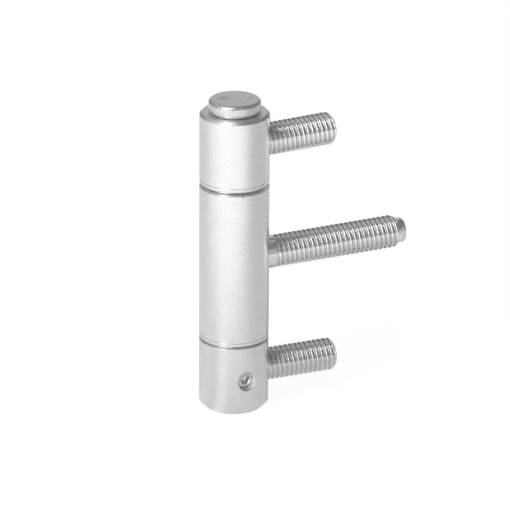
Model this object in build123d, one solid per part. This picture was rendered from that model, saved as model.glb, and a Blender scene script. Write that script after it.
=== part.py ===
from build123d import *
import math
import os

# Three-part pin hinge. The hinge axis is Z and the lower knuckle stands on the XY plane.
# The lower stud points along +X and the grub screw faces -Y. All sizes are in millimetres.

# Barrel
barrel_radius = 10.0
lower_length = 21.1
middle_length = 45.45
upper_length = 19.95
foot_chamfer = 1.8
joint_chamfer = 0.45
joint_chamfer_height = 0.6
top_chamfer = 0.75
edge_break = 0.1

# Bearing bushes between the knuckles
flange_thickness = 1.35
flange_land = 0.3
flange_taper = 0.6
sleeve_wall = 1.2
sleeve_length = 4.0
lower_gap = 0.15
upper_gap = 0.45

# Hinge pin
pin_radius = 4.5
pin_clearance = 0.05
pin_end_chamfer = 1.0
pin_end_gap = 0.5
bore_floor = 6.0
bore_break = 0.3
drill_point_angle = 118.0
head_radius = 7.45
head_rim_height = 3.75
head_dome_rise = 0.2
head_rim_round = 1.4
head_under_round = 1.6

# Threaded studs, plain at the crest diameter of the thread
thread_radius = 4.85
shank_radius = 4.5
seat_floor = 0.75
neck_radius = 4.65
short_reach = 21.0
short_neck_reach = 0.5
short_end_chamfer = 1.1
long_reach = 43.6
long_neck_reach = 1.5
point_radius = 3.6
point_length = 1.6
point_taper_length = 2.0
point_round = 0.4

# Height of each stud above the foot of its own knuckle body
lower_cross_height = 10.7
middle_cross_height = 22.65
upper_cross_height = 9.8

# Resting turn of the upper two knuckles about the hinge axis, from the lower stud
middle_turn = 2.0
upper_turn = 4.8

# Grub screw that locks the pin in the lower knuckle
screw_height = 10.6
screw_radius = 2.5
screw_clearance = 0.05
screw_length = 4.0
screw_tip_gap = 0.05
screw_tip_chamfer = 0.75
screw_back_chamfer = 0.3
screw_sink = 0.45
socket_width = 2.5
socket_depth = 1.9

# Heights of the stack, each from the piece below it
lower_top = lower_length
middle_flange_base = lower_top + lower_gap
middle_base = middle_flange_base + flange_thickness
middle_top = middle_base + middle_length
upper_flange_base = middle_top + upper_gap
upper_base = upper_flange_base + flange_thickness
upper_top = upper_base + upper_length

bore_radius = pin_radius + pin_clearance
sleeve_radius = bore_radius + sleeve_wall
pin_end = bore_floor + pin_end_gap
seat_start = bore_radius + seat_floor

# Where the wall of the barrel ends beside the neck of a stud
neck_start = math.sqrt(barrel_radius**2 - neck_radius**2)


def revolved(*profile):
    """Turn a closed radius and height profile once round the hinge axis."""
    outline = Polyline(*profile, close=True)
    return revolve(Plane.XZ * make_face(outline), Axis.Z)


def along_x(shape, height):
    """Lay a piece that was turned about Z along +X at a height."""
    return Pos(0, 0, height) * Rot(0, 90, 0) * shape


def turned(shape, angle):
    """Turn a piece about the hinge axis."""
    return Rot(0, 0, angle) * shape


def knuckle_body(base, length, foot, crown, crown_height):
    """Solid barrel with a chamfer of its own at the foot and at the crown."""
    top = base + length
    return revolved(
        (0, base),
        (barrel_radius - foot, base),
        (barrel_radius, base + foot),
        (barrel_radius, top - crown_height),
        (barrel_radius - crown, top),
        (0, top),
    )


def through_bore(base, length):
    """Running bore for the pin, with its mouths broken."""
    top = base + length
    mouth = bore_radius + bore_break
    return revolved(
        (0, base),
        (mouth, base),
        (bore_radius, base + bore_break),
        (bore_radius, top - bore_break),
        (mouth, top),
        (0, top),
    )


def blind_bore():
    """Bore of the lower knuckle, which ends in the cone of the drill."""
    mouth = bore_radius + bore_break
    cone = bore_radius / math.tan(math.radians(drill_point_angle / 2))
    return revolved(
        (0, bore_floor - cone),
        (bore_radius, bore_floor),
        (bore_radius, lower_top - bore_break),
        (mouth, lower_top),
        (0, lower_top),
    )


def bush_seat(base):
    """Counterbore that takes a bush's sleeve from below."""
    return Pos(0, 0, base) * Cylinder(
        sleeve_radius, sleeve_length, align=(Align.CENTER, Align.CENTER, Align.MIN)
    )


def stud_seat(height):
    """Blind cross hole for a stud's shank, opened out where the neck of the stud enters."""
    hole = Pos(0, 0, seat_start) * Cylinder(
        shank_radius, barrel_radius - seat_start, align=(Align.CENTER, Align.CENTER, Align.MIN)
    )
    entry = Pos(0, 0, neck_start) * Cylinder(
        neck_radius, barrel_radius - neck_start, align=(Align.CENTER, Align.CENTER, Align.MIN)
    )
    return along_x(hole + entry, height)


def screw_hole():
    """Tapped hole on the -Y side, from the surface into the bore, with a countersink."""
    wall = Cylinder(screw_radius, barrel_radius, align=(Align.CENTER, Align.CENTER, Align.MIN))
    rim = math.sqrt(barrel_radius**2 - screw_radius**2)
    sink = Pos(0, 0, rim - screw_sink) * Cone(
        screw_radius,
        screw_radius + barrel_radius - rim + screw_sink,
        barrel_radius - rim + screw_sink,
        align=(Align.CENTER, Align.CENTER, Align.MIN),
    )
    return Pos(0, 0, screw_height) * Rot(90, 0, 0) * (wall + sink)


def make_lower_knuckle():
    """Frame-side knuckle that the pin stands in and the grub screw locks."""
    body = knuckle_body(0, lower_length, foot_chamfer, joint_chamfer, joint_chamfer_height)
    return body - blind_bore() - stud_seat(lower_cross_height) - screw_hole()


def make_middle_knuckle():
    """Door-side knuckle that turns on the pin."""
    body = knuckle_body(middle_base, middle_length, edge_break, joint_chamfer, joint_chamfer_height)
    body = body - through_bore(middle_base, middle_length) - bush_seat(middle_base)
    return turned(body - stud_seat(middle_base + middle_cross_height), middle_turn)


def make_upper_knuckle():
    """Second frame-side knuckle, under the head of the pin."""
    body = knuckle_body(upper_base, upper_length, edge_break, top_chamfer, top_chamfer)
    body = body - through_bore(upper_base, upper_length) - bush_seat(upper_base)
    return turned(body - stud_seat(upper_base + upper_cross_height), upper_turn)


def make_bush(flange_base):
    """Flanged bush: the sleeve sits in the knuckle above, the bevelled flange shows as a ring."""
    shoulder = flange_base + flange_thickness
    top = shoulder + sleeve_length
    rim = barrel_radius - edge_break / 2
    return revolved(
        (bore_radius, flange_base),
        (rim - flange_taper, flange_base),
        (rim, shoulder - flange_land),
        (rim, shoulder - edge_break),
        (barrel_radius - edge_break, shoulder),
        (sleeve_radius, shoulder),
        (sleeve_radius, top),
        (bore_radius, top),
    )


def make_hinge_pin():
    """Headed pin: domed head with rounded edges on a plain shank with a chamfered end."""
    seat = upper_top
    rim = seat + head_rim_height
    crown = rim + head_dome_rise
    outline = [
        Line((0, pin_end), (pin_radius - pin_end_chamfer, pin_end)),
        Line((pin_radius - pin_end_chamfer, pin_end), (pin_radius, pin_end + pin_end_chamfer)),
        Line((pin_radius, pin_end + pin_end_chamfer), (pin_radius, seat)),
        Line((pin_radius, seat), (head_radius, seat)),
        Line((head_radius, seat), (head_radius, rim)),
        TangentArc((0, crown), (head_radius, rim), tangent=(1, 0)),
        Line((0, crown), (0, pin_end)),
    ]
    profile = make_face(Curve() + outline)
    profile = fillet(profile.vertices().group_by(Axis.X)[-1].sort_by(Axis.Y)[0], head_under_round)
    profile = fillet(profile.vertices().group_by(Axis.X)[-1].sort_by(Axis.Y)[-1], head_rim_round)
    return revolve(Plane.XZ * profile, Axis.Z)


def make_short_stud(height):
    """Frame-side stud: a plain shank pressed into its knuckle, a short neck and the thread."""
    tip = barrel_radius + short_reach
    stud = revolved(
        (0, seat_start),
        (shank_radius, seat_start),
        (shank_radius, neck_start),
        (neck_radius, neck_start),
        (neck_radius, barrel_radius + short_neck_reach),
        (thread_radius, barrel_radius + short_neck_reach),
        (thread_radius, tip - short_end_chamfer),
        (thread_radius - short_end_chamfer, tip),
        (0, tip),
    )
    return along_x(stud, height)


def make_long_stud(height):
    """Door-side stud with a longer neck at the barrel and a dog point."""
    tip = barrel_radius + long_reach
    taper_end = tip - point_length
    stud = revolved(
        (0, seat_start),
        (shank_radius, seat_start),
        (shank_radius, neck_start),
        (neck_radius, neck_start),
        (neck_radius, barrel_radius + long_neck_reach),
        (thread_radius, barrel_radius + long_neck_reach),
        (thread_radius, taper_end - point_taper_length),
        (point_radius, taper_end),
        (point_radius, tip),
        (0, tip),
    )
    point_edge = stud.edges().filter_by(GeomType.CIRCLE).sort_by(Axis.Z)[-1]
    return along_x(fillet(point_edge, point_round), height)


def make_grub_screw():
    """Flat-point set screw with a hexagon socket, a hair clear of the pin."""
    radius = screw_radius - screw_clearance
    tip = pin_radius + screw_tip_gap
    back = tip + screw_length
    body = revolved(
        (0, tip),
        (radius - screw_tip_chamfer, tip),
        (radius, tip + screw_tip_chamfer),
        (radius, back - screw_back_chamfer),
        (radius - screw_back_chamfer, back),
        (0, back),
    )
    hexagon = Pos(0, 0, back - socket_depth) * RegularPolygon(socket_width / 2, 6, major_radius=False)
    body = body - extrude(hexagon, socket_depth)
    return Pos(0, 0, screw_height) * Rot(90, 0, 0) * body


nodes = {
    "lower_knuckle": make_lower_knuckle(),
    "middle_knuckle": make_middle_knuckle(),
    "upper_knuckle": make_upper_knuckle(),
    "middle_bush": make_bush(middle_flange_base),
    "upper_bush": make_bush(upper_flange_base),
    "hinge_pin": make_hinge_pin(),
    "lower_stud": make_short_stud(lower_cross_height),
    "middle_stud": turned(make_long_stud(middle_base + middle_cross_height), middle_turn),
    "upper_stud": turned(make_short_stud(upper_base + upper_cross_height), upper_turn),
    "grub_screw": make_grub_screw(),
}

os.makedirs("parts", exist_ok=True)
for name, shape in nodes.items():
    export_step(shape, f"parts/{name}.step")
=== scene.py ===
"""Looks of a three-part pin hinge: turned knuckles, bush rings, a headed pin, rolled studs and a set screw.

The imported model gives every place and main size. This script adds what a plain solid lacks: helical
threads, broken edges, the tapped screw hole, plated finishes, the studio and the camera.
"""

import logging
import math
from dataclasses import dataclass, field
from enum import Enum

import bmesh
import bpy
from mathutils import Matrix, Vector


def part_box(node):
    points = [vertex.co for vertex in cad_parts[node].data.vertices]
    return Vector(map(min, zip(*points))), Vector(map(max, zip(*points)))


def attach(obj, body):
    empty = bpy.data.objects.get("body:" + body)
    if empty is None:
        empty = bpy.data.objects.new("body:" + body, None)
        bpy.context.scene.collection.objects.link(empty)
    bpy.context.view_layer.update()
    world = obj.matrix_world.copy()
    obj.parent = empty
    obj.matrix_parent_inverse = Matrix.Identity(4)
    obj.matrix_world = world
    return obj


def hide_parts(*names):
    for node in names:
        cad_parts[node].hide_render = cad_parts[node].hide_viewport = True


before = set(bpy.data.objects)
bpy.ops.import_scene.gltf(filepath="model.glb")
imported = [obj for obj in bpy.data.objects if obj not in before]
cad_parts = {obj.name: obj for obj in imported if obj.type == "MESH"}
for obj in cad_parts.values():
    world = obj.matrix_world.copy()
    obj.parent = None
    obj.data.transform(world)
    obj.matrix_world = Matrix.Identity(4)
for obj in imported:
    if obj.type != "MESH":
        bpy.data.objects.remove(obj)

LOG = logging.getLogger("pin_hinge")
MM = 0.001
NEARLY_STRAIGHT = math.radians(89.5)
TOOL_AROUND = 96
Point = tuple[float, float]
Place = tuple[float, float, float]
Limits = tuple[float, float, float, float]
Colour = tuple[float, float, float, float]
Socket = bpy.types.NodeSocket
Piece = bpy.types.Object


class Slot(Enum):
    """Material slots of the record."""

    SATIN = "satin_plated_steel"
    RING = "plated_ring_steel"
    PIN = "zinc_plated_steel"
    THREAD = "thread_steel"
    SCREW = "screw_steel"


Coats = dict[Slot, bpy.types.Material]


def grey(value: float) -> Colour:
    """Neutral colour of one linear value."""
    return (value, value, value, 1.0)


def direction(azimuth: float, elevation: float) -> Vector:
    """Unit vector towards an azimuth, counted from -Y towards +X, and an elevation in degrees."""
    around, up = math.radians(azimuth), math.radians(elevation)
    return Vector((math.sin(around) * math.cos(up), -math.cos(around) * math.cos(up), math.sin(up)))


@dataclass
class NodeSheet:
    """A node tree, with short calls for the nodes that the finishes and the studio use."""

    tree: bpy.types.NodeTree

    @property
    def shader(self) -> bpy.types.Node:
        """The Principled shader."""
        return self.tree.nodes["Principled BSDF"]

    def node(self, kind: str, **values: object) -> bpy.types.Node:
        """Add a node.

        Args:
            kind: Type name of the node.
            values: Attributes to set on it.

        Returns:
            The new node.
        """
        made = self.tree.nodes.new(kind)
        for name, value in values.items():
            setattr(made, name, value)
        return made

    def link(self, source: Socket, target: Socket) -> None:
        """Join two sockets."""
        self.tree.links.new(source, target)

    def place(self) -> Socket:
        """Object coordinates in metres."""
        return self.node("ShaderNodeTexCoord").outputs["Object"]

    def height(self, where: Socket) -> Socket:
        """The Z value of a vector."""
        split = self.node("ShaderNodeSeparateXYZ")
        self.link(where, split.inputs["Vector"])
        return split.outputs["Z"]

    def calculated(self, operation: str, *terms: object) -> Socket:
        """Add a calculation.

        Args:
            operation: Type name of the calculation.
            terms: Its terms in order, each a number or a socket.

        Returns:
            The value socket.
        """
        made = self.node("ShaderNodeMath", operation=operation)
        for socket, term in zip(made.inputs, terms):
            if isinstance(term, float):
                socket.default_value = term
            else:
                self.link(term, socket)
        return made.outputs["Value"]

    def measured(self, operation: str, where: Socket, other: Place = (0.0, 0.0, 0.0)) -> Socket:
        """Measure a vector, as its length, its distance from a place or its reach along a direction.

        Args:
            operation: Type name of the measurement.
            where: The vector.
            other: The place or the direction.

        Returns:
            The value socket.
        """
        made = self.node("ShaderNodeVectorMath", operation=operation)
        made.inputs[1].default_value = other
        self.link(where, made.inputs[0])
        return made.outputs["Value"]

    def ranged(self, value: Socket, limits: Limits, kind: str = "SMOOTHSTEP") -> Socket:
        """Map a value from one range to another.

        Args:
            value: The value.
            limits: Start and end of its range, then the results there.
            kind: Type name of the ramp between them.

        Returns:
            The value socket.
        """
        made = self.node("ShaderNodeMapRange", interpolation_type=kind)
        for name, limit in zip(("From Min", "From Max", "To Min", "To Max"), limits):
            made.inputs[name].default_value = limit
        self.link(value, made.inputs["Value"])
        return made.outputs["Result"]

    def noise(self, size: float, detail: float) -> Socket:
        """Soft noise about 0.5 over the object.

        Args:
            size: Rough width of one blob in metres.
            detail: Number of finer layers.

        Returns:
            The value socket.
        """
        noise = self.node("ShaderNodeTexNoise")
        noise.inputs["Scale"].default_value = 1.0 / size
        noise.inputs["Detail"].default_value = detail
        self.link(self.place(), noise.inputs["Vector"])
        return noise.outputs["Fac"]

    def mixed(self, share: float, first: Socket, second: Socket) -> Socket:
        """Value between two values.

        Args:
            share: Share of the second value.
            first: The first value.
            second: The second value.

        Returns:
            The value socket.
        """
        mix = self.node("ShaderNodeMix", data_type="FLOAT")
        mix.inputs["Factor"].default_value = share
        self.link(first, mix.inputs["A"])
        self.link(second, mix.inputs["B"])
        return mix.outputs["Result"]

    def tint(self, value: Socket, dark: Colour, light: Colour) -> Socket:
        """Colour between two tones.

        Args:
            value: A noise value about 0.5.
            dark: Colour at the low end.
            light: Colour at the high end.

        Returns:
            The colour socket.
        """
        ramp = self.node("ShaderNodeValToRGB")
        for element, place, colour in zip(ramp.color_ramp.elements, (0.35, 0.65), (dark, light)):
            element.position = place
            element.color = colour
        self.link(value, ramp.inputs["Fac"])
        return ramp.outputs["Color"]

    def dimmed(self, tone: Socket, factor: Socket) -> Socket:
        """Colour whose brightness is multiplied by a factor.

        Args:
            tone: The colour.
            factor: The factor, 1 for no change.

        Returns:
            The colour socket.
        """
        scaled = self.node("ShaderNodeHueSaturation")
        self.link(factor, scaled.inputs["Value"])
        self.link(tone, scaled.inputs["Color"])
        return scaled.outputs["Color"]

    def relief(self, value: Socket, depth: float) -> Socket:
        """Bump from a value.

        Args:
            value: Height from 0 to 1.
            depth: Real height of the relief in metres.

        Returns:
            The normal socket.
        """
        bump = self.node("ShaderNodeBump")
        bump.inputs["Strength"].default_value = 1.0
        bump.inputs["Distance"].default_value = depth
        self.link(value, bump.inputs["Height"])
        return bump.outputs["Normal"]


def empty_material(name: str) -> bpy.types.Material:
    """Node material that holds a Principled shader alone."""
    material = bpy.data.materials.new(name)
    material.use_nodes = True
    return material


@dataclass(frozen=True)
class Mark:
    """Soft-edged dark mark on a finish."""

    middle: Place
    radius: float
    strength: float
    wobble_size: float = 0.6 * MM
    core: float = 0.7
    rim: float = 1.7

    def factor(self, sheet: NodeSheet) -> Socket:
        """Brightness that the mark leaves, 1 away from it.

        Args:
            sheet: The finish's node sheet.

        Returns:
            The value socket.
        """
        away = sheet.measured("DISTANCE", sheet.place(), self.middle)
        wobbly = sheet.calculated("MULTIPLY_ADD", sheet.noise(self.wobble_size, 2.0), self.radius, away)
        return sheet.ranged(
            wobbly, (self.radius * self.core, self.radius * self.rim, 1.0 - self.strength, 1.0)
        )


@dataclass(frozen=True)
class PlatedFinish:
    """Plated steel: a metal whose tone, roughness and grain vary softly over the surface."""

    name: str
    slot: Slot
    tones: Point
    roughness: Point
    blotch_size: float = 4.0 * MM
    grain_size: float = 0.12 * MM
    grain_depth: float = 0.6e-6
    face_roughness: float = 0.0
    wall_grain: float = 1.0
    speckle: float = 0.3
    marks: tuple[Mark, ...] = ()
    # Brightness factors on thread crests and in roots: painted highlight and painted shade; (1, 1) paints
    # none.
    crest_highlight_root_shade: Point = (1.0, 1.0)

    def material(self) -> bpy.types.Material:
        """Build the finish.

        Returns:
            The node material.
        """
        material = empty_material(self.name)
        sheet = NodeSheet(material.node_tree)
        blotch = sheet.noise(self.blotch_size, 3.0)
        grain = sheet.noise(self.grain_size, 3.0)
        slope = self.slope(sheet)
        spread = sheet.ranged(blotch, (0.3, 0.7, *self.roughness), "LINEAR")
        rough = sheet.calculated("MULTIPLY_ADD", slope, self.face_roughness, spread)
        share = sheet.calculated("MULTIPLY_ADD", slope, 1.0 - self.wall_grain, self.wall_grain)
        height = sheet.calculated("MULTIPLY", grain, share)
        shader = sheet.shader
        shader.inputs["Metallic"].default_value = 1.0
        sheet.link(self.tone(sheet, sheet.mixed(self.speckle, blotch, grain)), shader.inputs["Base Color"])
        sheet.link(rough, shader.inputs["Roughness"])
        sheet.link(sheet.relief(height, self.grain_depth), shader.inputs["Normal"])
        return material

    def tone(self, sheet: NodeSheet, mottle: Socket) -> Socket:
        """Colour of the plating with its marks, and on a thread with painted highlight on its crests and
        painted shade in its roots.

        Args:
            sheet: The finish's node sheet.
            mottle: Noise that moves the tone.

        Returns:
            The colour socket.
        """
        dark, light = self.tones
        tone = sheet.tint(mottle, grey(dark), grey(light))
        for mark in self.marks:
            tone = sheet.dimmed(tone, mark.factor(sheet))
        # Painted light on threads: crests lighter as painted highlight, roots darker as painted shade, by the
        # groove's depth.
        if self.crest_highlight_root_shade != (1.0, 1.0):
            groove = sheet.node("ShaderNodeAttribute", attribute_name="groove").outputs["Fac"]
            tone = sheet.dimmed(tone, sheet.ranged(groove, (0.0, 0.75, *self.crest_highlight_root_shade)))
        return tone

    def slope(self, sheet: NodeSheet) -> Socket:
        """Value that is 0 on walls and 1 on turned faces that look up.

        Args:
            sheet: The finish's node sheet.

        Returns:
            The value socket.
        """
        shape = sheet.node("ShaderNodeNewGeometry")
        return sheet.ranged(sheet.height(shape.outputs["True Normal"]), (0.2, 0.5, 0.0, 1.0))


def corner_arc(before: Point, corner: Point, after: Point, radius: float, steps: int) -> list[Point]:
    """Round one corner of an outline.

    Args:
        before: The point before the corner.
        corner: The corner itself.
        after: The point after it.
        radius: Radius of the rounding, 0 for a sharp corner.
        steps: Number of chords of the arc.

    Returns:
        The points that take the corner's place.
    """
    if radius <= 0:
        return [corner]
    here = Vector(corner)
    back = (Vector(before) - here).normalized()
    ahead = (Vector(after) - here).normalized()
    half = back.angle(ahead) / 2
    if half > NEARLY_STRAIGHT:
        return [corner]
    centre = here + (back + ahead).normalized() * (radius / math.sin(half))
    first = here + back * (radius / math.tan(half)) - centre
    last = here + ahead * (radius / math.tan(half)) - centre
    turn = first.angle_signed(last)
    points = []
    for step in range(steps + 1):
        arm = first.copy()
        arm.rotate(Matrix.Rotation(-turn * step / steps, 2))
        points.append(tuple(centre + arm))
    return points


def rounded(corners: list[Place], closed: bool, steps: int = 5) -> list[Point]:
    """Outline with its corners rounded.

    Args:
        corners: Radius, height and rounding of each corner.
        closed: Whether the last point joins the first.
        steps: Number of chords of each arc.

    Returns:
        The outline's points.
    """
    points: list[Point] = []
    count = len(corners)
    for index, (r, z, rounding) in enumerate(corners):
        if not closed and index in (0, count - 1):
            points.append((r, z))
            continue
        before = corners[index - 1][:2]
        after = corners[(index + 1) % count][:2]
        points.extend(corner_arc(before, (r, z), after, rounding, steps))
    return points


def divided(points: list[Point], longest: float, closed: bool) -> list[Point]:
    """Add points to the long stretches of an outline.

    Args:
        points: The outline's points.
        longest: Greatest length of a stretch.
        closed: Whether the last point joins the first.

    Returns:
        The points with those between them.
    """
    result: list[Point] = []
    count = len(points)
    for index, point in enumerate(points):
        result.append(point)
        if index == count - 1 and not closed:
            break
        ahead = points[(index + 1) % count]
        parts = max(1, math.ceil(math.dist(point, ahead) / longest))
        for part in range(1, parts):
            share = part / parts
            result.append(tuple(a + (b - a) * share for a, b in zip(point, ahead)))
    return result


def lathe(name: str, outline: list[Point], closed: bool, around: int) -> Piece:
    """Turn an outline of radius and height points about Z.

    Args:
        name: Name of the piece.
        outline: Points in order, from the lower end of the axis for a solid piece.
        closed: True for a ring, False for a solid whose outline starts and ends on the axis.
        around: Number of segments.

    Returns:
        The new object.
    """
    mesh = bmesh.new()
    rings: list[list[bmesh.types.BMVert]] = []
    for r, z in outline:
        if r < 1e-9:
            rings.append([mesh.verts.new((0.0, 0.0, z))])
            continue
        ring = []
        for step in range(around):
            angle = math.tau * step / around
            ring.append(mesh.verts.new((r * math.cos(angle), r * math.sin(angle), z)))
        rings.append(ring)
    pairs = list(zip(rings, rings[1:]))
    if closed:
        pairs.append((rings[-1], rings[0]))
    for low, high in pairs:
        for step in range(around):
            ahead = (step + 1) % around
            near = [low[step % len(low)], low[ahead % len(low)]]
            far = [high[ahead % len(high)], high[step % len(high)]]
            mesh.faces.new(list(dict.fromkeys(near + far)))
    return finished(name, mesh)


def finished(name: str, mesh: bmesh.types.BMesh, sharp: float = 30.0) -> Piece:
    """Turn a bmesh into an object with outward faces, smooth but for its sharp edges.

    Args:
        name: Name of the object.
        mesh: The bmesh, which is freed.
        sharp: Angle in degrees from which an edge is sharp.

    Returns:
        The new object.
    """
    bmesh.ops.recalc_face_normals(mesh, faces=mesh.faces)
    for face in mesh.faces:
        face.smooth = True
    data = bpy.data.meshes.new(name)
    mesh.to_mesh(data)
    mesh.free()
    data.set_sharp_from_angle(angle=math.radians(sharp))
    made = bpy.data.objects.new(name, data)
    bpy.context.scene.collection.objects.link(made)
    return made


def cut(piece: Piece, tool: Piece) -> None:
    """Take a tool's space out of a piece.

    Args:
        piece: The piece that is cut.
        tool: The closed mesh that cuts it, which is deleted.
    """
    modifier = piece.modifiers.new("cut", "BOOLEAN")
    modifier.operation = "DIFFERENCE"
    modifier.solver = "EXACT"
    modifier.object = tool
    graph = bpy.context.evaluated_depsgraph_get()
    result = bpy.data.meshes.new_from_object(piece.evaluated_get(graph))
    piece.modifiers.clear()
    old = piece.data
    piece.data = result
    bpy.data.meshes.remove(old)
    bpy.data.objects.remove(tool)


def lay_along_x(piece: Piece, height: float, turn: float) -> None:
    """Turn a mesh that lies along X about Z by an angle in degrees, and lift it to a height."""
    turned = Matrix.Rotation(math.radians(turn), 4, "Z")
    piece.data.transform(Matrix.Translation((0.0, 0.0, height)) @ turned)


def true_wall(piece: Piece, radius: float) -> None:
    """Shade the wall of a barrel that holes have been cut in as a true cylinder about Z.

    Args:
        piece: The barrel.
        radius: Radius of its wall.
    """
    steepest, squarest, inner = 0.05, 0.99, radius * 0.99
    data = piece.data
    for polygon in data.polygons:
        polygon.use_smooth = True
    data.set_sharp_from_angle(angle=math.radians(20.0))
    normals = [corner.vector.copy() for corner in data.corner_normals]
    for polygon in data.polygons:
        if abs(polygon.normal.z) > steepest:
            continue
        outward = Vector((polygon.center.x, polygon.center.y, 0.0)).normalized()
        if polygon.normal.dot(outward) < squarest or polygon.center.xy.length < inner:
            continue
        for corner in polygon.loop_indices:
            place = data.vertices[data.loops[corner].vertex_index].co
            normals[corner] = Vector((place.x, place.y, 0.0)).normalized()
    data.normals_split_custom_set(normals)


def dressed(piece: Piece, coats: Coats, slot: Slot, node: str, body: str) -> Piece:
    """Give a piece its finish, tie it to its body and let it stand for its node.

    Args:
        piece: The piece.
        coats: The materials by slot.
        slot: Slot of its finish.
        node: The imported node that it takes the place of.
        body: The body that it moves with.

    Returns:
        The same piece.
    """
    piece.data.materials.clear()
    piece.data.materials.append(coats[slot])
    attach(piece, body)
    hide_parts(node)
    return piece


@dataclass
class Envelope:
    """Greatest radius of a rod along its length, and where its thread runs out."""

    points: list[Point]
    start: float = -1.0
    run_out: float = 1.0 * MM

    def limit(self, x: float) -> float:
        """Radius of the envelope at a place along the rod.

        Args:
            x: The place.

        Returns:
            The radius.
        """
        for (x0, r0), (x1, r1) in zip(self.points, self.points[1:]):
            if x <= x1:
                share = 0.0 if x1 == x0 else min(max((x - x0) / (x1 - x0), 0.0), 1.0)
                return r0 + (r1 - r0) * share
        return self.points[-1][1]

    def radius(self, x: float, full: float) -> float:
        """Radius of the rod at a place along it.

        Args:
            x: The place.
            full: Radius that the full thread would have there.

        Returns:
            The radius.
        """
        limit = self.limit(x)
        share = min(max((x - self.start) / self.run_out, 0.0), 1.0)
        return min(limit, limit + (full - limit) * share)


@dataclass
class Thread:
    """Metric thread about X, as a sheared grid whose rows follow the helix."""

    major: float
    pitch: float
    depth_share: float = 0.56
    crest_share: float = 0.14
    root_share: float = 0.14
    rounding: float = 0.34
    around: int = 144
    per_pitch: int = 18

    def fall(self, phase: float) -> float:
        """Share of the depth at a share of the pitch.

        Args:
            phase: Share of the pitch from the middle of a crest.

        Returns:
            0 on the crest, 1 in the root.
        """
        away = abs((phase + 0.5) % 1.0 - 0.5)
        flank = (0.5 - self.root_share / 2) - self.crest_share / 2
        return min(max((away - self.crest_share / 2) / flank, 0.0), 1.0)

    def ridge(self, phase: float) -> float:
        """Radius of the full thread, with rounded crests and roots.

        Args:
            phase: Share of the pitch from the middle of a crest.

        Returns:
            The radius.
        """
        steps = [self.rounding * (step / 4 - 0.5) for step in range(5)]
        depth = sum(self.fall(phase + step) for step in steps) / len(steps)
        return self.major - self.depth_share * self.pitch * depth

    def build(self, name: str, start: float, end: float, envelope: Envelope) -> Piece:
        """Mesh of the threaded rod, closed at both ends. Each point keeps its share of the groove's depth.

        Args:
            name: Name of the piece.
            start: Place of its first section along X.
            end: Place of its last section.
            envelope: Greatest radius along the rod.

        Returns:
            The new object.
        """
        mesh = bmesh.new()
        groove = mesh.verts.layers.float.new("groove")
        step_x = self.pitch / self.per_pitch
        first = math.floor((start - self.pitch) / step_x)
        last = math.ceil(end / step_x) + 1
        columns: list[dict[int, bmesh.types.BMVert]] = []
        for column in range(self.around):
            turn = column / self.around
            angle = math.tau * turn
            made: dict[int, bmesh.types.BMVert] = {}
            kept: dict[float, bmesh.types.BMVert] = {}
            for row in range(first, last + 1):
                x = min(max(row * step_x + turn * self.pitch, start), end)
                if x not in kept:
                    radius = envelope.radius(x, self.ridge(x / self.pitch - turn))
                    kept[x] = mesh.verts.new((x, radius * math.cos(angle), radius * math.sin(angle)))
                    kept[x][groove] = (envelope.limit(x) - radius) / (self.depth_share * self.pitch)
                made[row] = kept[x]
            columns.append(made)
        for column in range(self.around):
            here = columns[column]
            ahead = columns[(column + 1) % self.around]
            offset = self.per_pitch if column == self.around - 1 else 0
            for row in range(first, last):
                near = ahead[min(row + offset, last)]
                far = ahead[min(row + 1 + offset, last)]
                corners = list(dict.fromkeys([here[row], here[row + 1], far, near]))
                if len(corners) > 2:
                    mesh.faces.new(corners)
        for row in (first, last):
            ring = [column[row] for column in columns]
            centre = mesh.verts.new((ring[0].co.x, 0.0, 0.0))
            for index, corner in enumerate(ring):
                mesh.faces.new([corner, ring[(index + 1) % len(ring)], centre])
        return finished(name, mesh, 50.0)


@dataclass
class Stud:
    """Rolled stud in one knuckle, laid along its own axis and turned with the knuckle.

    The rounded edge of a dog point is given as steps back from the tip and in from the point's radius.
    """

    name: str
    node: str
    body: str
    turn: float
    neck_radius: float = 4.65 * MM
    neck_end: float = 8.7 * MM
    neck_rise: float = 0.3
    run_out: float = 0.4
    taper: float = 1.1 * MM
    point_radius: float = 0.0
    point_length: float = 0.0
    point_edge: tuple[Point, ...] = ((0.35 * MM, 0.0), (0.1 * MM, 0.12 * MM), (0.0, 0.4 * MM))
    root: float = 8.2 * MM
    pitch: float = 1.5 * MM

    def build(self, coats: Coats) -> Piece:
        """Make the stud, dress it and put it on its knuckle.

        Args:
            coats: The materials by slot.

        Returns:
            The new object.
        """
        low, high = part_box(self.node)
        radius = (high.z - low.z) / 2
        tip = max(self.reaches())
        piece = Thread(radius, self.pitch).build(self.name, self.root, tip, self.envelope(radius, tip))
        lay_along_x(piece, self.height(), self.turn)
        return dressed(piece, coats, Slot.THREAD, self.node, self.body)

    def height(self) -> float:
        """Height of the stud's axis."""
        low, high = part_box(self.node)
        return (low.z + high.z) / 2

    def reaches(self) -> list[float]:
        """Distance of each of the node's points along the stud's own axis."""
        axis = Vector((math.cos(math.radians(self.turn)), math.sin(math.radians(self.turn)), 0.0))
        return [vertex.co.dot(axis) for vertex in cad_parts[self.node].data.vertices]

    def envelope(self, radius: float, tip: float) -> Envelope:
        """Outline that the thread is cut back to.

        Args:
            radius: Radius of the thread's crests.
            tip: Place of the stud's end along its axis.

        Returns:
            The envelope.
        """
        points = [(self.root, self.neck_radius), (self.neck_end, self.neck_radius)]
        points += [(self.neck_end + self.neck_rise * self.pitch, radius)]
        if self.point_length > 0:
            shoulder = tip - self.point_length
            points += [(shoulder - self.taper, radius), (shoulder, self.point_radius)]
            points += [(tip - back, self.point_radius - inward) for back, inward in self.point_edge]
        else:
            points += [(tip - self.taper, radius), (tip, radius - self.taper)]
        return Envelope(points, self.neck_end, self.run_out * self.pitch)


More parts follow.
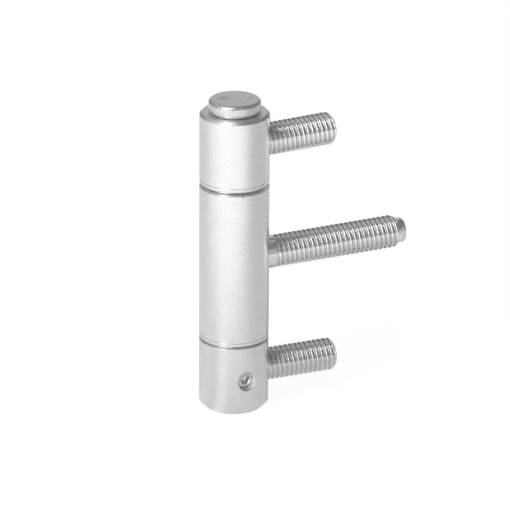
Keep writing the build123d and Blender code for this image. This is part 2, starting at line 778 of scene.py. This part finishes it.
@dataclass
class Knuckle:
    """Turned barrel with a running bore. A seat radius of 0 lets the wall close on the stud."""

    name: str
    node: str
    foot_chamfer: float
    crown_chamfer: float
    crown_height: float
    seat_radius: float = 0.0
    seat_start: float = 8.6 * MM
    seat_end: float = 12.0 * MM
    bore: float = 4.55 * MM
    mouth: float = 0.3 * MM
    blind_floor: float = 0.0
    drill_half_angle: float = 59.0
    edge: float = 0.08 * MM
    longest: float = 1.5 * MM
    around: int = 192

    def outline(self, low: float, high: float, radius: float) -> list[Point]:
        """Closed section of a bored barrel, or the open section of one with a blind bore.

        Args:
            low: Height of its foot.
            high: Height of its crown.
            radius: Radius of its wall.

        Returns:
            The outline's points.
        """
        foot = self.foot_chamfer
        wall = [
            (radius - foot, low, self.edge * 2),
            (radius, low + foot, self.edge * 3),
            (radius, high - self.crown_height, self.edge),
            (radius - self.crown_chamfer, high, self.edge),
            (self.bore + self.mouth, high, self.edge / 2),
            (self.bore, high - self.mouth, self.edge / 2),
        ]
        closed = self.blind_floor <= 0
        if closed:
            wall += [(self.bore, low + self.mouth, self.edge / 2)]
            wall += [(self.bore + self.mouth, low, self.edge / 2)]
        else:
            floor = low + self.blind_floor
            cone = self.bore / math.tan(math.radians(self.drill_half_angle))
            wall = [(0.0, low, 0.0)] + wall + [(self.bore, floor, 0.0), (0.0, floor - cone, 0.0)]
        return divided(rounded(wall, closed), self.longest, closed)

    def build(self, coats: Coats, stud: Stud) -> Piece:
        """Turn the barrel, open the seat of its stud, dress it and put it on its body.

        Args:
            coats: The materials by slot.
            stud: The stud that stands in it.

        Returns:
            The new object.
        """
        low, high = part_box(self.node)
        radius = (high.y - low.y) / 2
        outline = self.outline(low.z, high.z, radius)
        piece = lathe(self.name, outline, self.blind_floor <= 0, self.around)
        if self.seat_radius > 0:
            cut(piece, self.seat_tool(stud))
        true_wall(piece, radius)
        return dressed(piece, coats, Slot.SATIN, self.node, stud.body)

    def seat_tool(self, stud: Stud) -> Piece:
        """Plug for the hole that the stud's neck stands in, a hair wider than the neck.

        Args:
            stud: The stud.

        Returns:
            The plug.
        """
        start, end = self.seat_start, self.seat_end
        outline = [(0.0, start), (self.seat_radius, start), (self.seat_radius, end), (0.0, end)]
        tool = lathe("seat_tool", outline, False, TOOL_AROUND)
        tool.data.transform(
            Matrix.Translation((0.0, 0.0, stud.height()))
            @ Matrix.Rotation(math.radians(stud.turn), 4, "Z")
            @ Matrix.Rotation(math.radians(90.0), 4, "Y")
        )
        return tool


@dataclass
class TappedHole:
    """Tapped hole with a countersink on the -Y side of the lower barrel, for the set screw."""

    height: float = 10.6 * MM
    radius: float = 2.5 * MM
    pitch: float = 0.8 * MM
    core_share: float = 0.86
    rim_radius: float = 2.68 * MM
    inner_end: float = 4.0 * MM
    overrun: float = 1.0 * MM
    flare: float = 1.2 * MM

    def cut_in(self, barrel: Piece, wall: float) -> None:
        """Cut the hole in the barrel.

        Args:
            barrel: The lower barrel.
            wall: Radius of its wall.
        """
        thread = Thread(self.radius, self.pitch, around=48, per_pitch=8)
        plain = Envelope([(0.0, self.radius), (1.0, self.radius)])
        tool = thread.build("tap", self.inner_end, wall + self.overrun, plain)
        lay_along_x(tool, self.height, -90.0)
        cut(barrel, tool)
        slope = wall - math.sqrt(wall**2 - self.rim_radius**2)
        core = self.radius * self.core_share
        inner = wall - slope - (self.rim_radius - core)
        outline = [
            (0.0, inner),
            (core, inner),
            (self.rim_radius, wall - slope),
            (self.rim_radius + self.flare, wall - slope + self.flare),
            (0.0, wall - slope + self.flare),
        ]
        sink = lathe("sink", outline, False, TOOL_AROUND)
        sink.data.transform(Matrix.Rotation(math.radians(90.0), 4, "Y"))
        lay_along_x(sink, self.height, -90.0)
        cut(barrel, sink)
        true_wall(barrel, wall)


@dataclass
class SetScrew:
    """Hexagon-socket set screw in the tapped hole."""

    name: str = "set_screw"
    node: str = "grub_screw"
    pitch: float = 0.8 * MM
    tip_chamfer: float = 0.75 * MM
    back_chamfer: float = 0.3 * MM
    socket_width: float = 2.5 * MM
    socket_depth: float = 1.9 * MM
    drill_depth: float = 0.6 * MM
    mouth_depth: float = 0.12 * MM
    mouth_flare: float = 0.42 * MM
    overrun: float = 0.3 * MM
    per_side: int = 8

    def build(self, coats: Coats) -> Piece:
        """Make the screw, dress it and put it on its body.

        Args:
            coats: The materials by slot.

        Returns:
            The new object.
        """
        low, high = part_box(self.node)
        radius = (high.x - low.x) / 2
        tip, back = -high.y, -low.y
        points = [(tip, radius - self.tip_chamfer), (tip + self.tip_chamfer, radius)]
        points += [(back - self.back_chamfer, radius), (back, radius - self.back_chamfer)]
        thread = Thread(radius, self.pitch, around=96, per_pitch=10)
        piece = thread.build(self.name, tip, back, Envelope(points))
        cut(piece, self.socket_tool(back))
        piece.data.set_sharp_from_angle(angle=math.radians(28.0))
        lay_along_x(piece, (low.z + high.z) / 2, -90.0)
        return dressed(piece, coats, Slot.SCREW, self.node, "grub_screw")

    def socket_tool(self, back: float) -> Piece:
        """Hexagonal plug with a drilled point and a broken mouth, for the socket.

        Args:
            back: Place of the screw's back face along X.

        Returns:
            The plug.
        """
        mesh = bmesh.new()
        across = self.socket_width / 2
        floor = back - self.socket_depth
        sections = [(floor, across), (back - self.mouth_depth, across)]
        sections += [(back + self.overrun, across + self.mouth_flare)]
        rings = [self.hexagon(mesh, x, apothem) for x, apothem in sections]
        count = len(rings[0])
        for lower, upper in zip(rings, rings[1:]):
            for step in range(count):
                ahead = (step + 1) % count
                mesh.faces.new([lower[step], lower[ahead], upper[ahead], upper[step]])
        point = mesh.verts.new((floor - self.drill_depth, 0.0, 0.0))
        for step in range(count):
            mesh.faces.new([rings[0][(step + 1) % count], rings[0][step], point])
        mesh.faces.new(rings[-1])
        return finished("socket_tool", mesh)

    def hexagon(self, mesh: bmesh.types.BMesh, x: float, apothem: float) -> list[bmesh.types.BMVert]:
        """Points of a hexagon across X.

        Args:
            mesh: The bmesh that gets them.
            x: Place of the hexagon along X.
            apothem: Half its width across the flats.

        Returns:
            The points in order.
        """
        ring = []
        for side in range(6):
            for step in range(self.per_side):
                offset = (step / self.per_side * 2 - 1) * math.tan(math.radians(30.0))
                angle = math.radians(60.0 * side + 30.0)
                y = apothem * (math.cos(angle) - offset * math.sin(angle))
                z = apothem * (math.sin(angle) + offset * math.cos(angle))
                ring.append(mesh.verts.new((x, y, z)))
        return ring


@dataclass
class BushRing:
    """Flanged bush: the bevelled ring below a joint line and its sleeve."""

    name: str
    node: str
    body: str
    drop: float
    flange: float = 1.35 * MM
    taper: float = 0.4 * MM
    land: float = 0.85 * MM
    bore: float = 4.55 * MM
    sleeve: float = 5.75 * MM
    line: float = 0.1 * MM
    curve: float = 0.3 * MM
    edge: float = 0.06 * MM
    around: int = 192

    def build(self, coats: Coats) -> Piece:
        """Turn the bush, dress it and put it on its body.

        Args:
            coats: The materials by slot.

        Returns:
            The new object.
        """
        low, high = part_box(self.node)
        radius = (high.y - low.y) / 2
        shoulder = low.z + self.flange
        corners = [
            (self.bore, low.z - self.drop, self.edge),
            (radius - self.taper, low.z - self.drop, self.edge * 2),
            (radius, shoulder - self.land, self.curve),
            (radius, shoulder - self.line, self.edge),
            (radius - self.line, shoulder, self.edge / 3),
            (self.sleeve, shoulder, 0.0),
            (self.sleeve, high.z, 0.0),
            (self.bore, high.z, 0.0),
        ]
        piece = lathe(self.name, rounded(corners, closed=True), True, self.around)
        return dressed(piece, coats, Slot.RING, self.node, self.body)


@dataclass
class HeadedPin:
    """Pin with a domed head that stands on the upper knuckle."""

    name: str = "headed_pin"
    node: str = "hinge_pin"
    shank: float = 4.5 * MM
    rim_height: float = 3.75 * MM
    dome: float = 0.2 * MM
    under_round: float = 0.9 * MM
    rim_round: float = 1.05 * MM
    end_chamfer: float = 1.0 * MM
    end_edge: float = 0.1 * MM
    dome_inset: float = 1.05
    dome_steps: int = 16
    around: int = 160

    def build(self, coats: Coats) -> Piece:
        """Turn the pin, dress it and put it on its body.

        Args:
            coats: The materials by slot.

        Returns:
            The new object.
        """
        low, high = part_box(self.node)
        radius = (high.y - low.y) / 2
        rim = high.z - self.dome
        seat = rim - self.rim_height
        corners = [
            (0.0, low.z, 0.0),
            (self.shank - self.end_chamfer, low.z, self.end_edge),
            (self.shank, low.z + self.end_chamfer, self.end_edge),
            (self.shank, seat, 0.0),
            (radius, seat, self.under_round),
            (radius, rim, self.rim_round),
        ]
        curve = (radius**2 + self.dome**2) / (2 * self.dome)
        outer = radius - self.rim_round * self.dome_inset
        for step in range(self.dome_steps - 1, -1, -1):
            r = outer * (step + 1) / self.dome_steps if step else 0.0
            corners.append((r, rim - curve + self.dome + math.sqrt(curve**2 - r**2), 0.0))
        piece = lathe(self.name, rounded(corners, closed=False, steps=8), False, self.around)
        return dressed(piece, coats, Slot.PIN, self.node, "hinge_pin")


@dataclass
class AreaLamp:
    """Soft rectangular lamp that looks at the hinge from a direction."""

    name: str
    azimuth: float
    elevation: float
    distance: float
    width: float
    height: float
    radiance: float

    def build(self, aim: Vector) -> None:
        """Place the lamp.

        Args:
            aim: The point that it faces.
        """
        data = bpy.data.lights.new(self.name, "AREA")
        data.shape = "RECTANGLE"
        data.size = self.width
        data.size_y = self.height
        data.energy = self.radiance * self.width * self.height * math.pi
        lamp = bpy.data.objects.new(self.name, data)
        bpy.context.scene.collection.objects.link(lamp)
        away = direction(self.azimuth, self.elevation)
        lamp.location = aim + away * self.distance
        lamp.rotation_euler = away.to_track_quat("Z", "Y").to_euler()


@dataclass(frozen=True)
class Glow:
    """Soft brightening of the surroundings about one direction, given by cosines from its middle."""

    azimuth: float
    elevation: float
    rim: float
    full: float
    strength: float

    def tone(self, sheet: NodeSheet, where: Socket, front: float) -> Socket:
        """Brightness that the glow adds.

        Args:
            sheet: The world's node sheet.
            where: The direction socket.
            front: Azimuth of the view, which the glow's own counts from.

        Returns:
            The value socket.
        """
        along = sheet.measured("DOT_PRODUCT", where, direction(front + self.azimuth, self.elevation))
        return sheet.ranged(along, (self.rim, self.full, 0.0, self.strength))


@dataclass(frozen=True)
class Card:
    """Soft oval patch of painted light on the floor in the metal or, below 0, of painted shadow there."""

    azimuth: float
    distance: float
    half_length: float
    half_width: float
    strength: float

    def tone(self, sheet: NodeSheet, front: float) -> Socket:
        """Brightness that the card adds.

        Args:
            sheet: The floor's node sheet.
            front: Azimuth of the view, which the card's own counts from.

        Returns:
            The value socket.
        """
        around = front + self.azimuth
        mapping = sheet.node("ShaderNodeMapping", vector_type="TEXTURE")
        mapping.inputs["Location"].default_value = direction(around, 0.0) * self.distance
        mapping.inputs["Rotation"].default_value = (0.0, 0.0, math.radians(around - 90.0))
        mapping.inputs["Scale"].default_value = (self.half_length, self.half_width, 1.0)
        sheet.link(sheet.place(), mapping.inputs["Vector"])
        far = sheet.measured("LENGTH", mapping.outputs["Vector"])
        return sheet.ranged(far, (1.3, 0.7, 0.0, self.strength))


@dataclass
class PaleFloor:
    """Floor that the hinge stands on. It shows white to the camera and graded in the metal."""

    front: float
    size: float = 6.0
    gap: float = 0.03 * MM
    base: float = 0.35
    white: float = 0.87
    slant: float = 0.45
    cards: tuple[Card, ...] = (
        Card(121.0, 0.147, 0.032, 0.011, 0.50),
        Card(132.0, 0.260, 0.060, 0.020, 0.50),
        # Dark card close to the hinge: painted shadow of the hinge on the floor, seen in the metal.
        Card(159.0, 0.080, 0.050, 0.022, -0.26),
    )

    def build(self) -> None:
        """Make the floor a hair below the hinge's foot and dress it."""
        mesh = bmesh.new()
        half = self.size / 2
        corners = [(-half, -half), (half, -half), (half, half), (-half, half)]
        mesh.faces.new([mesh.verts.new((x, y, -self.gap)) for x, y in corners])
        floor = finished("floor", mesh)
        material = empty_material("pale_floor")
        sheet = NodeSheet(material.node_tree)
        shader = sheet.shader
        shader.inputs["Base Color"].default_value = grey(self.base)
        shader.inputs["Roughness"].default_value = 1.0
        shader.inputs["Specular IOR Level"].default_value = 0.0
        shader.inputs["Emission Color"].default_value = grey(1.0)
        rays = sheet.node("ShaderNodeLightPath").outputs
        to_camera = sheet.calculated("MULTIPLY", rays["Is Camera Ray"], self.white)
        in_metal = sheet.calculated("MAXIMUM", rays["Is Glossy Ray"], rays["Is Transmission Ray"])
        total = sheet.calculated("MULTIPLY_ADD", in_metal, self.tone(sheet), to_camera)
        sheet.link(total, shader.inputs["Emission Strength"])
        floor.data.materials.append(material)

    def tone(self, sheet: NodeSheet) -> Socket:
        """Brightness of the floor in the metal, painted into its glow: it falls off past the lit part in
        front of the hinge, and dims close to the hinge as painted shadow.

        Args:
            sheet: The floor's node sheet.

        Returns:
            The tone socket.
        """
        place = sheet.place()
        way = sheet.node("ShaderNodeVectorMath", operation="NORMALIZE")
        sheet.link(place, way.inputs[0])
        around = way.outputs["Vector"]
        slanting = direction(self.front, 0.0) - direction(self.front + 90.0, 0.0) * self.slant
        lit = self.ramp(sheet, around, direction(self.front - 14.0, 0.0), (-0.3, 1.05, 0.0, 0.47))
        # Painted shadow: the lit part dims close to the hinge and behind it, where the hinge's shadow falls
        # on the floor.
        depth = self.ramp(sheet, place, slanting, (-0.02, 0.17, 0.1, 1.0))
        left = self.ramp(sheet, around, direction(self.front - 140.0, 0.0), (0.2, 0.7, 0.42, 0.53))
        stripe = self.ramp(sheet, around, direction(self.front - 33.0, 0.0), (0.955, 1.0, 0.0, 0.16))
        # Painted shadow: the stripe fades out close to the hinge in the same way.
        fading = self.ramp(sheet, place, slanting, (-0.02, 0.14, 1.0, 0.0))
        tone = sheet.calculated("MULTIPLY_ADD", lit, depth, left)
        tone = sheet.calculated("MULTIPLY_ADD", stripe, fading, tone)
        for card in self.cards:
            tone = sheet.calculated("ADD", tone, card.tone(sheet, self.front))
        return tone

    def ramp(self, sheet: NodeSheet, place: Socket, way: Vector, limits: Limits) -> Socket:
        """Smooth ramp along a direction.

        Args:
            sheet: The node sheet.
            place: The vector to measure.
            way: The direction to measure it along.
            limits: Start and end along the direction, then the values there.

        Returns:
            The value socket.
        """
        return sheet.ranged(sheet.measured("DOT_PRODUCT", place, way), limits)


@dataclass
class Studio:
    """Pale floor, grey surroundings, the lamp and the camera at the photograph's angle."""

    view_azimuth: float = -23.23
    view_elevation: float = 21.876
    view_distance: float = 1.4698
    pivot_height: float = 43.0 * MM
    look_azimuth: float = -23.481
    look_elevation: float = 21.764
    roll: float = 0.354
    focal_pixels: float = 5137.7
    image_pixels: int = 510
    sensor: float = 36.0
    sky: tuple[Point, ...] = (
        (0.0, 0.20), (0.22, 0.19), (0.40, 0.21), (0.55, 0.23), (0.80, 0.21), (1.0, 0.17),
    )
    glows: tuple[Glow, ...] = (
        Glow(180.0, 14.0, 0.84, 0.97, 0.34),
        Glow(-92.0, 50.0, 0.78, 0.96, 0.30),
        Glow(36.0, 10.0, 0.80, 0.97, 0.22),
    )

    def build(self) -> None:
        """Make everything round the hinge."""
        self.world()
        PaleFloor(self.view_azimuth).build()
        key = AreaLamp(
            "key", self.view_azimuth - 37.0, elevation=40.0, distance=0.70, width=0.20, height=1.06,
            radiance=3.2,
        )
        key.build(self.pivot())
        self.camera()
        bpy.context.scene.view_settings.view_transform = "Standard"

    def pivot(self) -> Vector:
        """Middle of the hinge, which the lamp and the camera turn about."""
        return Vector((0.0, 0.0, self.pivot_height))

    def world(self) -> None:
        """Grey surroundings by height, with soft glows. They show white to the camera."""
        world = bpy.data.worlds.new("studio")
        bpy.context.scene.world = world
        world.use_nodes = True
        sheet = NodeSheet(world.node_tree)
        where = sheet.node("ShaderNodeTexCoord").outputs["Generated"]
        height = sheet.node("ShaderNodeValToRGB")
        elements = height.color_ramp.elements
        for element, (place, value) in zip(elements, (self.sky[0], self.sky[-1])):
            element.position = place
            element.color = grey(value)
        for place, value in self.sky[1:-1]:
            elements.new(place).color = grey(value)
        sheet.link(sheet.height(where), height.inputs["Fac"])
        tone = height.outputs["Color"]
        for glow in self.glows:
            tone = sheet.calculated("ADD", tone, glow.tone(sheet, where, self.view_azimuth))
        background = sheet.tree.nodes["Background"]
        background.inputs["Color"].default_value = grey(1.0)
        sheet.link(tone, background.inputs["Strength"])
        white = sheet.node("ShaderNodeBackground")
        white.inputs["Color"].default_value = grey(1.0)
        chosen = sheet.node("ShaderNodeMixShader")
        sheet.link(sheet.node("ShaderNodeLightPath").outputs["Is Camera Ray"], chosen.inputs["Fac"])
        sheet.link(background.outputs["Background"], chosen.inputs[1])
        sheet.link(white.outputs["Background"], chosen.inputs[2])
        sheet.link(chosen.outputs["Shader"], sheet.tree.nodes["World Output"].inputs["Surface"])

    def camera(self) -> None:
        """Camera at the photograph's angle, with its image's width in pixels as the measure of its lens."""
        data = bpy.data.cameras.new("camera")
        data.sensor_fit = "HORIZONTAL"
        data.sensor_width = self.sensor
        data.lens = self.focal_pixels / self.image_pixels * self.sensor
        data.clip_start = 0.05
        data.clip_end = 20.0
        camera = bpy.data.objects.new("camera", data)
        bpy.context.scene.collection.objects.link(camera)
        away = direction(self.view_azimuth, self.view_elevation)
        camera.location = self.pivot() + away * self.view_distance
        back = direction(self.look_azimuth, self.look_elevation)
        turn = back.to_track_quat("Z", "Y").to_matrix() @ Matrix.Rotation(math.radians(self.roll), 3, "Z")
        camera.rotation_euler = turn.to_euler()
        bpy.context.scene.camera = camera


@dataclass
class PinHinge:
    """The whole hinge, built from the foot upwards."""

    middle_turn: float = 2.0
    upper_turn: float = 4.8
    barrel_radius: float = 10.0 * MM
    pieces: list[Piece] = field(default_factory=list)

    def coats(self) -> Coats:
        """Build the finishes, with the nick and the smudges that the photograph shows.

        Returns:
            The materials by slot.
        """
        nick = Mark((-1.51 * MM, -9.88 * MM, 67.5 * MM), 0.5 * MM, 0.45)
        left_smudge = Mark((-2.94 * MM, 1.26 * MM, 93.75 * MM), 2.0 * MM, 0.24)
        right_smudge = Mark((4.42 * MM, -1.35 * MM, 93.75 * MM), 1.0 * MM, 0.20)
        finishes = (
            PlatedFinish(
                "satin_plating", Slot.SATIN, (0.84, 0.95), (0.20, 0.25), speckle=0.65,
                grain_size=0.42 * MM, grain_depth=70e-6, face_roughness=0.16, wall_grain=0.008, marks=(nick,),
            ),
            PlatedFinish("turned_ring", Slot.RING, (0.88, 0.91), (0.18, 0.24)),
            PlatedFinish(
                "pin_plating", Slot.PIN, (0.68, 1.00), (0.30, 0.40), speckle=0.8, blotch_size=1.6 * MM,
                grain_size=0.42 * MM, grain_depth=70e-6, marks=(left_smudge, right_smudge),
            ),
            PlatedFinish(
                "rolled_thread", Slot.THREAD, (0.80, 0.88), (0.15, 0.23), blotch_size=1.2 * MM,
                # Thread crests painted lighter and roots painted darker, as highlight and shade.
                crest_highlight_root_shade=(1.13, 0.86),
            ),
            PlatedFinish("bright_screw", Slot.SCREW, (0.70, 0.86), (0.16, 0.26), blotch_size=0.8 * MM),
        )
        return {finish.slot: finish.material() for finish in finishes}

    def studs(self) -> list[Stud]:
        """The lower, the middle and the upper stud."""
        return [
            Stud("lower_thread", "lower_stud", "lower_knuckle", 0.0),
            Stud(
                "middle_thread", "middle_stud", "middle_knuckle", self.middle_turn, neck_end=11.7 * MM,
                taper=2.0 * MM, point_radius=3.6 * MM, point_length=1.6 * MM,
            ),
            Stud("upper_thread", "upper_stud", "upper_knuckle", self.upper_turn),
        ]

    def knuckles(self) -> list[Knuckle]:
        """The lower, the middle and the upper knuckle."""
        sharp = 0.1 * MM
        return [
            Knuckle("lower_barrel", "lower_knuckle", 1.8 * MM, 0.80 * MM, 0.30 * MM, blind_floor=6.0 * MM),
            Knuckle("middle_barrel", "middle_knuckle", sharp, 0.8 * MM, 0.5 * MM, seat_radius=4.9 * MM),
            Knuckle("upper_barrel", "upper_knuckle", sharp, 0.75 * MM, 0.75 * MM),
        ]

    def build(self) -> None:
        """Make every piece."""
        coats = self.coats()
        studs = self.studs()
        self.pieces += [knuckle.build(coats, stud) for knuckle, stud in zip(self.knuckles(), studs)]
        TappedHole().cut_in(self.pieces[0], self.barrel_radius)
        for name, drop in (("middle", 0.08 * MM), ("upper", 0.15 * MM)):
            bush = BushRing(f"{name}_ring", f"{name}_bush", f"{name}_knuckle", drop)
            self.pieces.append(bush.build(coats))
        self.pieces.append(HeadedPin().build(coats))
        self.pieces += [stud.build(coats) for stud in studs]
        self.pieces.append(SetScrew().build(coats))


def main() -> None:
    """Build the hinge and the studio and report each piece."""
    logging.basicConfig(level=logging.INFO, format="%(message)s")
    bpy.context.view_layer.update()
    hinge = PinHinge()
    hinge.build()
    for piece in hinge.pieces:
        LOG.info("%s: %d faces", piece.name, len(piece.data.polygons))
    Studio().build()
    bpy.context.view_layer.update()


if __name__ == "__main__":
    main()
